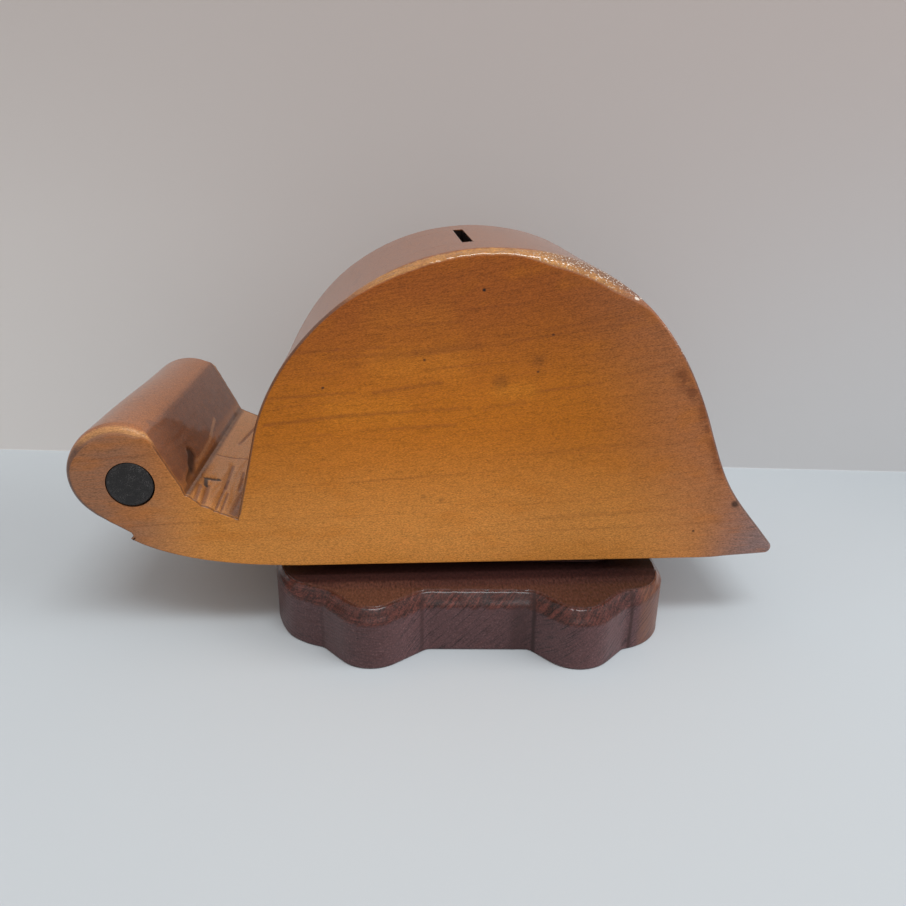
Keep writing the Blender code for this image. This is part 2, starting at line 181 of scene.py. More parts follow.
def closedLoop():
    # Points of the outline with their inward directions, stretch names and edges. An edge is its drop and
    # depth, and how far it is the flat worked band and the rasped corner.
    points, names = [], []
    for name, stretch in bodyStretches():
        points += [p + Vector((0, body["bottom"])) for p in stretch[:-1]]
        names += [name] * (len(stretch) - 1)
    count = len(points)
    ridge = next(i for i in range(count) if names[i] == "face")
    for step in range(edges["ridgeSoftness"]):
        near = range(ridge - edges["ridgeSoftness"], ridge + edges["ridgeSoftness"] + 1)
        softer = [(points[i - 1] + points[i] * 2 + points[i + 1]) / 4 for i in near]
        for i, point in zip(near, softer):
            points[i] = point
    inward = []
    for i in range(count):
        before = (points[i] - points[i - 1]).normalized()
        after = (points[(i + 1) % count] - points[i]).normalized()
        middle = (before + after).normalized()
        cosine = max(middle.dot(before), 0.6)
        inward.append(Vector((-middle.y, middle.x)) / cosine)
    cuts = []
    for point, name in zip(points, names):
        band = rasped = 0
        if name == "shell":
            rasped = ease(edges["bandTo"] - 0.006, edges["bandTo"] + 0.006, point.x)
            band = ease(edges["bandFrom"] - 0.010, edges["bandFrom"] + 0.010, point.x) * (1 - rasped)
            rasped *= 1 - ease(edges["raspTo"] - 0.006, edges["raspTo"] + 0.006, point.x)
        plain = edges[name] * (1 - band - rasped) + edges["raspSize"] * rasped
        if name == "face":
            plain += edges["crown"] * ease(0.030, 0.040, point.y - body["bottom"])
        cuts.append((plain + band * edges["bandDrop"], plain + band * edges["bandDepth"], band, rasped))
    window = range(-4, 5)
    smooth = []
    for i in range(count):
        near = [cuts[(i + k) % count] for k in window]
        smooth.append(tuple(sum(values) / len(window) for values in zip(*near)))
    return points, inward, names, smooth


def grown(rows):
    # A closed solid through rings of points, and its last face.
    bm = bmesh.new()
    first = [bm.verts.new(p) for p in rows[0]]
    face = bm.faces.new(first)
    for row in rows[1:]:
        face = bmesh.ops.extrude_discrete_faces(bm, faces=[face])["faces"][0]
        for loop, point in zip(face.loops, row):
            loop.vert.co = point
    bm.faces.new(reversed(first))
    return bm, face


def spun(profile, steps):
    bm = bmesh.new()
    line = [bm.verts.new((p[0], 0, p[1])) for p in profile]
    lineEdges = [bm.edges.new(pair) for pair in zip(line, line[1:])]
    bmesh.ops.spin(bm, geom=line + lineEdges, cent=(0, 0, 0), axis=(0, 0, 1), angle=tau,
                   steps=steps, use_merge=True)
    bmesh.ops.remove_doubles(bm, verts=bm.verts, dist=1e-7)
    return bm


def meshObject(name, bm, sharp=35):
    bmesh.ops.remove_doubles(bm, verts=bm.verts, dist=1e-7)
    bmesh.ops.recalc_face_normals(bm, faces=bm.faces)
    mesh = bpy.data.meshes.new(name)
    bm.to_mesh(mesh)
    bm.free()
    mesh.shade_smooth()
    mesh.set_sharp_from_angle(angle=radians(sharp))
    made = bpy.data.objects.new(name, mesh)
    bpy.context.scene.collection.objects.link(made)
    return made


def carve(piece, bm, sharp=35):
    # Cuts a closed solid out of a piece and drops the cutter.
    cutter = meshObject("cutter", bm)
    step = piece.modifiers.new("cut", "BOOLEAN")
    step.operation = "DIFFERENCE"
    step.solver = "EXACT"
    step.object = cutter
    bpy.context.view_layer.objects.active = piece
    bpy.ops.object.modifier_apply(modifier=step.name)
    bpy.data.objects.remove(cutter, do_unlink=True)
    piece.data.set_sharp_from_angle(angle=radians(sharp))


def dress(piece, node, bodyName, paint):
    piece.data.materials.clear()
    piece.data.materials.append(paint)
    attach(piece, bodyName)
    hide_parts(node)
    print(piece.name, len(piece.data.polygons), "faces")


# Marks left by the tools, in millimetres: (from, to, half width, depth, kind), each end as (x, y) on the
# neck seen from above, and as (height, y) on the nape
neckMarks = [
    ((-64, -7), (-63, -24), 0.6, 0.35, "cut"),
    ((-63.3, -18), (-62.6, -40), 0.4, 0.25, "cut"),
    ((-61.8, -26), (-61.2, -40), 0.35, 0.2, "cut"),
    ((-67, -27), (-66, -39.5), 0.8, 0.40, "cut"),
    ((-68.7, -29), (-68, -38), 0.7, 0.35, "cut"),
    ((-60.5, -9), (-59.5, -22), 0.5, 0.12, "cut"),
    ((-69, -6), (-60.5, 2.5), 0.35, 0.10, "cut"),
    ((-65.5, 10), (-63, 30), 0.5, 0.20, "cut"),
    ((-68.5, -23.5), (-65.5, -20.5), 0.8, 0.35, "tear"),
    ((-68.2, -24.5), (-67.6, -27.5), 0.7, 0.35, "tear"),
]
napeMarks = [
    ((28.0, -20.5), (25.6, -26), 2.1, 0.45, "tear"),
    ((25.6, -26), (24.6, -33), 1.1, 0.35, "tear"),
    ((23.3, 30), (23.3, -40), 1.1, 0.30, "cut"),
    ((28.7, 10), (25.8, -4.5), 0.7, -0.10, "ridge"),
    ((25.8, -4.5), (25.3, -19), 0.7, -0.10, "ridge"),
]


def fromLine(point, start, end):
    # Distance of a point from a segment.
    line, away = Vector(end) - Vector(start), Vector(point) - Vector(start)
    share = min(max(away.dot(line) / line.length_squared, 0), 1)
    return (away - line * share).length


def carved(point, marks):
    # Depth of the tools' marks at a point, whose first value is x or the height as in the marks.
    ragged = 1 + 0.35 * noise.noise(Vector((point[0], point[1], 5)) / 1.5)
    depth = 0
    for start, end, half, deep, kind in marks:
        away = fromLine(point, start, end) * ragged / half
        share = 1 - ease(0.75, 1.1, away) if kind == "tear" else exp(-away * away)
        depth = deep * share if abs(deep * share) > abs(depth) else depth
    return depth * mm


def wear(point, name):
    # How far the surface lies below the outline at a point, in metres.
    x, y, height = point[0] / mm, point[1] / mm, (point[2] - body["bottom"]) / mm
    depth = edges["waviness"] * (0.5 + 0.5 * rough(point, 0.012)) + 0.02 * mm * (1 + rough(point, 0.003, 1))
    if name in ("neck", "nape"):
        depth += 0.11 * mm * (1 + rough((point[0] * 2.2, point[1] * 0.25, point[2]), 0.0022, 2))
        depth += carved((x, y), neckMarks) if name == "neck" else carved((height, y), napeMarks)
    if name == "under":
        depth *= 0.3
    return depth


def swell(name, point):
    # How far the hand-worked surface stands out beyond the outline.
    x, y, height = point[0], point[1], point[2] - body["bottom"]
    if name in ("face", "jaw"):
        centre = Vector((noseX + body["headRadius"], body["headCentreHeight"]))
        angle = atan2(height - centre.y, x - centre.x) % tau
        share = min(max((angle - radians(62)) / radians(176), 0), 1)
        return edges["headSwell"] * sin(share * pi) ** 0.6 * (1 - ease(-0.015, 0.025, y))
    if name == "neck":
        start, end = noseX + body["creaseFromNose"], noseX + body["shellFootFromNose"]
        share = min(max((x - start) / (end - start), 0), 1)
        return edges["neckSwell"] * sin(share * pi) * ease(0.010, 0.036, y)
    if name == "shell":
        side = edges["flare"] * (1 - ease(-0.035, 0.010, x)) + edges["tailFlare"] * ease(0.020, 0.055, x)
        return (side + 0.1 * mm) * ease(-0.014, 0.039, y) * ease(0.018, 0.032, height)
    return 0


def handWorked(p, n, name, y, inset=0):
    # A point of the outline at y, pulled in by an edge and by wear, and pushed out by the swell.
    at = (p.x, y, p.y)
    q = p + n * (inset + wear(at, name) - swell(name, at))
    return q.x, y, q.y


def boardRows(side):
    points, inward, names, cuts = closedLoop()
    seam, outer = body["seamAt"], body["faceAt"]
    wallRows = round((outer - seam) / body["rowSpacing"])
    rows = []
    for k in range(wallRows):
        row = []
        for p, n, name, (drop, deep, flat, rasped) in zip(points, inward, names, cuts):
            y = seam + (outer - deep - seam) * k / wallRows
            row.append(handWorked(p, n, name, side * y))
        rows.append(row)
    for (roundDrop, roundDeep), (flatDrop, flatDeep) in zip(profiles["round"], profiles["flat"]):
        row = []
        for p, n, name, (drop, deep, flat, rasped) in zip(points, inward, names, cuts):
            inset = drop * (roundDrop + flat * (flatDrop - roundDrop))
            back = deep * (roundDeep + flat * (flatDeep - roundDeep))
            y = outer - back
            chatter = 0.6 + rough((p.x, y * 1.5, p.y), 0.0020, 3) + 0.5 * rough((p.x, y, p.y), 0.0010, 4)
            inset += max(chatter, 0) * edges["bandRoughness"] * flat
            lumps = (0.5 + rough((p.x, y, p.y), edges["raspGrain"], 13)) * sin(pi * back / deep)
            inset += lumps * edges["raspRoughness"] * rasped
            row.append(handWorked(p, n, name, side * y, inset))
        rows.append(row)
    ring = edges["ring"]
    rows.append([(x + n.x * ring, y, z + n.y * ring) for (x, y, z), n in zip(rows[-1], inward)])
    return rows


def eyePlace(side, shift=(0, 0)):
    x = noseX + body["headRadius"] + eye["behindHeadCentre"] + shift[0]
    z = body["bottom"] + body["headCentreHeight"] - eye["belowHeadCentre"] + shift[1]
    return Matrix.Translation((x, side * body["faceAt"], z)) @ Matrix.Rotation(-side * pi / 2, 4, "X")


def sideBoard(name, side):
    bm, face = grown(boardRows(side))
    rim = list(face.edges)
    bmesh.ops.delete(bm, geom=[face], context="FACES_ONLY")
    circle = bmesh.ops.create_circle(bm, cap_ends=False, segments=72, radius=eye["boreRadius"],
                                     matrix=eyePlace(side, eye["boreShift"]))["verts"]
    lip = list({edge for vert in circle for edge in vert.link_edges})
    bmesh.ops.triangle_fill(bm, edges=rim + lip, use_beauty=True, normal=(0, side, 0))
    deeper = bmesh.ops.extrude_edge_only(bm, edges=lip)["geom"]
    floor = [item for item in deeper if isinstance(item, bmesh.types.BMVert)]
    bmesh.ops.translate(bm, verts=floor, vec=(0, -side * (eye["length"] + clearance), 0))
    bmesh.ops.edgeloop_fill(bm, edges=[item for item in deeper if isinstance(item, bmesh.types.BMEdge)])
    return meshObject(name, bm)


def chamberLoop():
    # The chamber's wall from the right end of its floor over the top to the left end.
    skin = []
    for name, stretch in bodyStretches():
        if name in ("tail", "shell"):
            skin += stretch[:-1]
    inner = []
    for before, here, after in zip(skin, skin[2:], skin[4:]):
        travel = (after - before).normalized()
        point = here + Vector((-travel.y, travel.x)) * chamber["wall"]
        if point.y > chamber["floor"] + chamber["corner"] and point.y < body["height"]:
            if not inner or (point - inner[-1]).length > 0.5 * mm:
                inner.append(point)
    lift = Vector((0, body["bottom"]))
    corner = chamber["corner"]
    right = Vector((inner[0].x - corner, chamber["floor"] + corner))
    left = Vector((inner[-1].x + corner, chamber["floor"] + corner))
    rightArc = arc(right, corner, 0, -pi / 2, 6)
    leftArc = arc(left, corner, 1.5 * pi, pi, 6)
    floor = resampled([rightArc[-1], leftArc[0]], 0.0015)[1:-1]
    return [p + lift for p in inner], [p + lift for p in rightArc + floor + leftArc]


def bore(reach, low, high):
    # Section of a round hole.
    return [(0, low), (reach, low), (reach, high), (0, high)]


def coreBoard(name):
    points, inward, names, _ = closedLoop()
    slotX = noseX + body["shellTopFromNose"] - chamber["slotAheadOfTop"]
    low, high = slotX - chamber["slotWidth"] / 2, slotX + chamber["slotWidth"] / 2
    count = len(points)
    roof = body["bottom"] + body["height"] * 0.8
    inSlot = [i for i in range(count) if low < points[i].x < high and points[i].y > roof]
    first, last = inSlot[-1] + 1, inSlot[0] - 1
    outer = [k % count for k in range(first, last + count + 1)]
    inner, floor = chamberLoop()
    fromRight = [p for p in inner if p.x > high + 0.4 * mm]
    fromLeft = [p for p in inner if p.x < low - 0.4 * mm]
    down = resampled([Vector((high, points[last].y)), Vector((high, fromRight[-1].y))], 0.001)
    up = resampled([Vector((low, fromLeft[0].y)), Vector((low, points[first].y))], 0.001)
    inside = down + fromRight[::-1] + floor + fromLeft[::-1] + up
    half = body["coreHalf"]
    rowCount = round(2 * half / body["rowSpacing"])
    rows = []
    for k in range(rowCount + 1):
        y = -half + 2 * half * k / rowCount
        row = [handWorked(points[i], inward[i], names[i], y) for i in outer]
        for p in inside:
            saw = 0.05 * mm * rough((p.x, y, p.y * 3), 0.002, 5)
            row.append((p.x + saw, y, p.y - abs(saw)))
        rows.append(row)
    board = meshObject(name, grown(rows)[0])
    access = spun(bore(chamber["accessRadius"], 0.016, 0.037), 64)
    access.transform(baseMatrix)
    carve(board, access)
    return board


def eyePlug(name, side):
    # Round plug with a slightly domed, hand-sanded end and a small bevel.
    radius, dome = eye["radius"], eye["dome"]
    profile = [(0, -eye["length"]), (radius - 0.3 * mm, -eye["length"]), (radius, -eye["length"] + 0.3 * mm)]
    profile += [(radius, -0.25 * mm), (radius - 0.07 * mm, -0.08 * mm)]
    for i in range(24, -1, -1):
        r = (radius - 0.25 * mm) * i / 24
        profile.append((r, dome * (1 - (r / radius) ** 2) ** 0.8))
    bm = spun(profile, 72)
    for vert in bm.verts:
        if vert.co.z > -0.1 * mm:
            dent = 0.05 * mm * (1 + rough((vert.co.x, vert.co.y, side), 0.0035, 6))
            vert.co.z = max(vert.co.z - dent, -0.1 * mm)
    bm.transform(eyePlace(side))
    return meshObject(name, bm, sharp=50)


def bearing(start, end):
    return atan2(end.y - start.y, end.x - start.x) % tau


def meeting(start, angle, centre, radius):
    # Where a line from a point outside a circle first reaches it.
    travel = polar(angle, 1)
    away = start - centre
    along = away.dot(travel)
    return start - travel * (along + sqrt(along**2 - away.length_squared + radius**2))


def footSide():
    edge, half = -base["front"], base["length"] / 2
    headCorner = Vector((-half + base["headCorner"], edge + base["headCorner"]))
    tailCorner = Vector((half - base["tailCorner"], edge + base["tailCorner"]))
    slope, gentle, down = radians(base["footSlope"]), radians(base["gentleSlope"]), 1.5 * pi
    radius = base["footRadius"]
    footY = edge - base["footReach"] + radius
    headFoot = arc(Vector((-half + base["footFromHeadEnd"], footY)), radius, down - slope, down + gentle, 50)
    tailFoot = arc(Vector((half - base["footFromTailEnd"], footY)), radius, down - slope, down + slope, 50)
    headValley = meeting(headFoot[0], pi - slope, headCorner, base["headCorner"])
    tailValley = meeting(tailFoot[-1], slope, tailCorner, base["tailCorner"])
    headRun = (edge - headFoot[-1].y) / tan(gentle)
    tailRun = (edge - tailFoot[0].y) / tan(slope)
    line = arc(headCorner, base["headCorner"], pi, bearing(headCorner, headValley), 50)
    line += headFoot + [Vector((headFoot[-1].x + headRun, edge)), Vector((tailFoot[0].x - tailRun, edge))]
    line += tailFoot + arc(tailCorner, base["tailCorner"], bearing(tailCorner, tailValley), tau, 50)
    return line


def baseLoop():
    front = footSide()
    outline = front + [-p for p in front]
    sharp = resampled(outline + outline[:1], base["spacing"])[:-1]
    count = len(sharp)
    points = []
    for i in range(count):
        point = sum((sharp[(i + k) % count] for k in (-2, -1, 0, 1, 2)), Vector((0, 0))) / 5
        point.x += base["headInset"] * ease(-base["length"] * 0.42, -base["length"] * 0.49, point.x)
        points.append(point)
    inward = []
    for i in range(count):
        travel = (points[(i + 1) % count] - points[i - 1]).normalized()
        inward.append(Vector((-travel.y, travel.x)))
    return points, inward


def sawMarks(x, y, z):
    # Depth of the bandsaw's marks on the base's side.
    left = 1 - ease(-0.016, -0.008, x)
    arched = z + 0.9 * mm * sin(x * 260) + 0.7 * mm * rough((x, y, 0), 0.009, 7)
    level = 0.5 + 0.5 * sin(arched / (1.1 * mm) * tau)
    tilted = z - x * 0.9 + 0.4 * mm * rough((x, y, z), 0.006, 8)
    slanted = 0.5 + 0.5 * sin(tilted / (1.7 * mm) * tau)
    patchy = 0.5 + 0.5 * rough((x, y, z * 2), 0.007, 9)
    return (0.085 * left * level + 0.055 * (1 - left) * slanted) * mm * (0.35 + patchy)


def footBase(name):
    points, inward = baseLoop()
    thick, low, curveSize = base["thickness"], base["bottomRound"], base["round"]
    endFrom, endTo = base["length"] * 0.38, base["length"] * 0.48
    widths = [curveSize * (1 - base["endShare"] * ease(endFrom, endTo, abs(p.x))) for p in points]
    rows = []
    for k in range(4):
        t = k / 3 * pi / 2
        inset, z = low * (1 - sin(t)), low * (1 - cos(t))
        rows.append([(*(p + n * inset), z) for p, n in zip(points, inward)])
    sideTop = thick - curveSize
    sideRows = round((sideTop - low) / base["rowSpacing"])
    for k in range(1, sideRows + 1):
        z = low + (sideTop - low) * k / sideRows
        row = []
        for p, n in zip(points, inward):
            depth = sawMarks(p.x, p.y, z) + 0.06 * mm * (1 + rough((p.x, p.y, z), 0.008, 10))
            row.append((*(p + n * depth * ease(0, 0.0015, z - low)), z))
        rows.append(row)
    for k, (inset, lift) in enumerate(profiles["chopped"][1:], 2):
        row = []
        for p, n, width in zip(points, inward, widths):
            place = Vector((*p, lift * 0.005))
            lumps = 0.14 * (1 + rough(place, 0.0035, 11)) + 0.12 * (1 + rough(place, 0.009, 12))
            lumps += 0.13 * rough(place, 0.0012, 14) * ease(0.75, 0.95, lift)
            lumps *= (k < len(profiles["chopped"])) * (0.4 + 0.6 * ease(0.1, 0.5, lift)) * 0.7 * mm
            top = thick - width * (1 - lift) if lift > 0 else sideTop
            row.append((*(p + n * (width * inset + lumps)), top - lumps * lift))
        rows.append(row)
    ring = 0.8 * mm
    rows.append([(x + n.x * ring, y + n.y * ring, thick) for (x, y, z), n in zip(rows[-1], inward)])
    piece = meshObject(name, grown(rows)[0], sharp=50)
    seat, wide = stopper["low"] + stopper["flangeThickness"] + clearance, stopper["flangeRadius"] + 0.002
    reach, head, shank = chamber["accessRadius"], screw["headRadius"] + clearance, screw["holeRadius"]
    cone, below, above = screw["recess"] + screw["headHeight"], -0.002, 0.020
    middle = spun([(0, below), (wide, below), (wide, seat), (reach, seat), (reach, above), (0, above)], 64)
    hole = [(0, below), (head, below), (head, screw["recess"]), (shank, cone), (shank, above), (0, above)]
    carve(piece, withHoles(middle, hole), 50)
    piece.data.transform(baseMatrix)
    return piece


def withHoles(middle, profile):
    # The middle cutter and one cutter at each screw's place as one mesh.
    for place in screwPlaces():
        hole = spun(profile, 32)
        bmesh.ops.translate(hole, verts=hole.verts, vec=(*place, 0))
        data = bpy.data.meshes.new("hole")
        hole.to_mesh(data)
        middle.from_mesh(data)
        bpy.data.meshes.remove(data)
    return middle


def screwPlaces():
    x, y = screw["halfSpacing"], screw["fromMiddle"]
    return [(-x, -y), (x, -y), (x, y), (-x, y)]


def spacerBoard(name):
    wide, deep, corner = spacer["halfLength"], spacer["halfDepth"], spacer["corner"]
    low, high, bevel = spacer["bottom"], spacer["bottom"] + spacer["thickness"], spacer["bevel"]
    outline = []
    for number, (x, y) in enumerate([(wide, deep), (-wide, deep), (-wide, -deep), (wide, -deep)]):
        centre = Vector((x - copysign(corner, x), y - copysign(corner, y)))
        start = number * pi / 2
        outline += arc(centre, corner, start, start + pi / 2, 12)
    rows = []
    for inset, z in ((bevel, low), (0, low + bevel), (0, high - bevel), (bevel, high)):
        rows.append([(p.x * (1 - inset / wide), p.y * (1 - inset / deep), z) for p in outline])
    piece = meshObject(name, grown(rows)[0])
    below, above = low - 0.001, high + 0.001
    middle = spun(bore(chamber["accessRadius"], below, above), 64)
    carve(piece, withHoles(middle, bore(screw["holeRadius"], below, above)))
    piece.data.transform(baseMatrix)
    return piece


def coinStopper(name):
    # Rubber plug: dished flange with a grip ring below, sealing ribs on its wall.
    low, flange, r, length = stopper["low"], stopper["flangeRadius"], stopper["radius"], stopper["length"]
    seat = low + stopper["flangeThickness"]
    top, dish = seat + length, low + 1.2 * mm
    profile = [(0, dish), (0.0035, dish), (0.0042, low + 0.9 * mm), (0.0046, low + 0.3 * mm), (0.0052, low),
               (0.0060, low), (0.0066, low + 0.3 * mm), (0.0070, low + 0.9 * mm), (0.0076, dish),
               (flange - 0.0030, dish), (flange - 0.0020, low + 0.9 * mm)]
    profile += arc(Vector((flange - 0.6 * mm, low + 0.6 * mm)), 0.6 * mm, -pi * 0.6, 0, 6)
    profile += [(flange, seat - 0.5 * mm), (flange - 0.15 * mm, seat - 0.15 * mm), (flange - 0.5 * mm, seat),
                (r - 0.4 * mm, seat), (r - 0.5 * mm, seat + 0.3 * mm)]
    for i in range(1, 60):
        rise = 0.3 * mm + (length - 1.5 * mm) * i / 60
        phase = rise / (length - 1.5 * mm) * stopper["ribs"]
        rib = max(0, cos((phase % 1 - 0.5) * tau)) ** 2
        taper = stopper["taper"] * phase / stopper["ribs"]
        profile.append((r - taper - stopper["ribHeight"] * (1 - rib), seat + rise))
    profile += arc(Vector((r - 1.9 * mm, top - 1.2 * mm)), 1.2 * mm, 0, pi / 2, 6)
    profile += [(r - 0.0034, top - 0.05 * mm), (r - 0.0040, top - 0.8 * mm), (0, top - 0.8 * mm)]
    bm = spun(profile, 64)
    bm.transform(baseMatrix)
    return meshObject(name, bm)


def baseScrew(name, place):
    # Countersunk slotted wood screw with a real thread.
    low, radius, core, head = screw["low"], screw["radius"], screw["coreRadius"], screw["headRadius"]
    tip, cone = low + screw["length"], low + screw["headHeight"]
    plain = cone + 0.008
    profile = [(0, low), (head - 0.15 * mm, low), (head, low + 0.15 * mm), (head, low + 0.35 * mm),
               (radius, cone), (radius, plain)]
    steps = 150
    profile += [(core, plain + (tip - plain) * i / steps) for i in range(1, steps)] + [(0, tip)]
    bm = spun(profile, 32)
    for vert in bm.verts:
        z = vert.co.z
        if plain < z < tip - 1e-6:
            angle = atan2(vert.co.y, vert.co.x) / tau
            crest = max(0, 1 - abs((z / screw["pitch"] - angle) % 1 - 0.5) * 4)
            taper = min(1, (tip - z) / screw["pointLength"])
            start = ease(plain, plain + 0.001, z)
            reach = radius * (1 - start) + start * (core + crest * (radius - core))
            vert.co.x, vert.co.y = Vector((vert.co.x, vert.co.y)).normalized() * reach * taper
    piece = meshObject(name, bm, sharp=40)
    turn = Matrix.Rotation(0.4 + place[0] * 30 + place[1] * 50, 3, "Z")
    slot = bmesh.new()
    bmesh.ops.create_cube(slot, size=1)
    bmesh.ops.scale(slot, verts=slot.verts, vec=(0.012, screw["slotWidth"], 2 * screw["slotDepth"]))
    bmesh.ops.rotate(slot, verts=slot.verts, matrix=turn)
    bmesh.ops.translate(slot, verts=slot.verts, vec=(0, 0, low))
    carve(piece, slot, 40)
    piece.data.transform(baseMatrix @ Matrix.Translation((*place, 0)))
    return piece


class Wire:
    # A shader socket that takes part in Python expressions.
    def __init__(self, tree, socket):
        self.tree = tree
        self.socket = socket

    def node(self, kind, settings, inputs, output=0):
        made = self.tree.nodes.new(kind)
        for key, value in settings.items():
            setattr(made, key, value)
        for key, value in inputs.items():
            if isinstance(value, Wire):
                self.tree.links.new(value.socket, made.inputs[key])
            else:
                made.inputs[key].default_value = value
        return Wire(self.tree, made.outputs[output])

    def maths(self, operation, *values):
        return self.node("ShaderNodeMath", {"operation": operation}, dict(enumerate(values)))

    def __add__(self, other):
        return self.maths("ADD", self, other)

    def __sub__(self, other):
        return self.maths("SUBTRACT", self, other)

    def __rsub__(self, other):
        return self.maths("SUBTRACT", other, self)

    def __mul__(self, other):
        return self.maths("MULTIPLY", self, other)

    def __truediv__(self, other):
        return self.maths("DIVIDE", self, other)

    __radd__, __rmul__ = __add__, __mul__

    def __neg__(self):
        return self.maths("MULTIPLY", self, -1)

    def __abs__(self):
        return self.maths("ABSOLUTE", self)

    def smooth(self, low, high):
        return self.node("ShaderNodeMapRange", {"interpolation_type": "SMOOTHSTEP"},
                         {0: self, 1: low, 2: high, 3: 0, 4: 1})

    def falling(self, low, high):
        return 1 - self.smooth(low, high)

    def between(self, start, low, high, end):
        # 1 from low to high, 0 before start and after end.
        return self.smooth(start, low) * self.falling(high, end)

    def near(self, start, end, inner, outer):
        # 1 on a segment and as far as the inner distance from it, 0 beyond the outer one.
        return self.fromLine(start, end).falling(inner, outer)

    def mix(self, low, high):
        low, high = ((*c, 1) if isinstance(c, tuple) else c for c in (low, high))
        return self.node("ShaderNodeMix", {"data_type": "RGBA"}, {0: self, 6: low, 7: high}, 2)

    def vector(self, x, y, z):
        return self.node("ShaderNodeCombineXYZ", {}, {0: x, 1: y, 2: z})

    def scaled(self, share):
        return self.node("ShaderNodeVectorMath", {"operation": "SCALE"}, {0: self, 3: share})

    def fromLine(self, start, end):
        # Distance of this point from a segment.
        start = Vector(start).to_3d()
        line = Vector(end).to_3d() - start
        vectorMaths = "ShaderNodeVectorMath"
        scaledLine = line / line.length_squared
        away = self.node(vectorMaths, {"operation": "SUBTRACT"}, {0: self, 1: start})
        along = self.node(vectorMaths, {"operation": "DOT_PRODUCT"}, {0: away, 1: scaledLine}, 1)
        share = self.node("ShaderNodeClamp", {}, {0: along, 1: 0, 2: 1})
        foot = self.node(vectorMaths, {"operation": "SCALE"}, {0: line, 3: share})
        return self.node(vectorMaths, {"operation": "DISTANCE"}, {0: away, 1: foot}, 1)

    def noise(self, detail, roughness):
        inputs = {"Vector": self, "Scale": 1, "Detail": detail, "Roughness": roughness}
        return self.node("ShaderNodeTexNoise", {}, inputs)


def newPaint(name):
    # A material's shader node and the point's x, y, z in millimetres.
    made = bpy.data.materials.new(name)
    made.use_nodes = True
    tree = made.node_tree
    shader = tree.nodes["Principled BSDF"]
    coordinates = tree.nodes.new("ShaderNodeTexCoord")
    split = Wire(tree, None).node("ShaderNodeSeparateXYZ", {}, {0: Wire(tree, coordinates.outputs["Object"])})
    x, y, z = (Wire(tree, split.socket.node.outputs[i]) * 1000 for i in range(3))
    return made, shader, x, y, z


def feed(shader, **values):
    for key, value in values.items():
        socket = shader.inputs[key.replace("_", " ")]
        if isinstance(value, Wire):
            value.tree.links.new(value.socket, socket)
        else:
            socket.default_value = value


def bumped(shader, height, strength, distance):
    made = height.node("ShaderNodeBump", {}, {"Strength": strength, "Distance": distance, "Height": height})
    feed(shader, Normal=made)


wood = {"low": (0.62, 0.25, 0.053), "gold": (0.475, 0.145, 0.0098), "upper": (0.295, 0.079, 0.013),
        "right": (0.333, 0.129, 0.060), "tail": (0.238, 0.158, 0.147), "head": (0.258, 0.123, 0.070),
        "grain": (0.25, 0.066, 0.012), "line": (0.13, 0.036, 0.012), "sootAndShade": (0.020, 0.012, 0.010),
        "nape": (0.168, 0.075, 0.047), "neck": (0.46, 0.23, 0.105), "top": (0.335, 0.124, 0.050),
        "paleChipAndGlints": (0.80, 0.70, 0.60), "bright": (0.62, 0.22, 0.02), "rim": (0.075, 0.030, 0.018),
        "band": (0.52, 0.23, 0.055), "worn": (0.50, 0.21, 0.060), "lip": (0.52, 0.25, 0.10),
        "crease": (0.085, 0.036, 0.022)}
# Darker growth lines on the front face, as (x, height, x, height, half width, strength)
growthLines = [
    (-38, 63, -27, 64, 0.7, 0.7), (-27, 64, -14.5, 64.7, 0.7, 0.5), (-29, 61.8, -6, 63.2, 0.9, 0.45),
    (-6, 63.2, 10.5, 65.3, 1.3, 0.45), (-34.5, 57.2, -26, 58, 0.6, 0.4), (-17.5, 52.2, 0.5, 55.2, 0.8, 0.5),
    (-45.5, 50.7, -22.5, 52.4, 0.6, 0.5), (-47, 43.4, -26.5, 45.8, 0.7, 0.5),
    (-26.5, 45.8, 8.5, 47.9, 0.7, 0.5), (-36.5, 40.2, -29.5, 40.7, 0.6, 0.4), (-21, 41.5, 4.5, 43, 0.7, 0.5),
    (12.5, 47.6, 23, 49.5, 0.9, 0.5), (26.5, 52.3, 44, 54.8, 0.7, 0.45), (46.5, 56.2, 63.5, 60.6, 0.8, 0.45),
    (-20, 69.5, 6, 71.5, 0.5, 0.4), (4, 74.2, 24, 76.5, 0.5, 0.35), (20, 66.4, 52, 71.2, 0.5, 0.35),
    (-4, 58.6, 22, 61, 0.5, 0.4),
]
# Brighter patches on the faces, as (x, height, radius, strength)
goldPatches = [(-8, 72, 8, 0.12), (-6, 60, 9, 0.22), (20.5, 52.5, 4, 0.3), (-20, 47, 8, 0.2)]
# Dark pin marks, knots and smudges on the front face, as (x, height, radius, strength)
pinMarks = [
    (11.3, 79.6, 0.5, 1), (-31, 53.7, 0.45, 0.8), (-4, 61.2, 0.4, 0.7), (30, 68, 0.4, 0.7),
    (26.5, 58, 0.4, 0.7), (75.8, 9.2, 0.45, 0.8), (87.2, 17.8, 1.3, 0.8), (16.5, 55, 2.4, 0.28),
    (26.5, 61, 2.2, 0.25), (-4.3, 21.5, 0.9, 0.3), (0.8, 20.5, 0.8, 0.3),
]


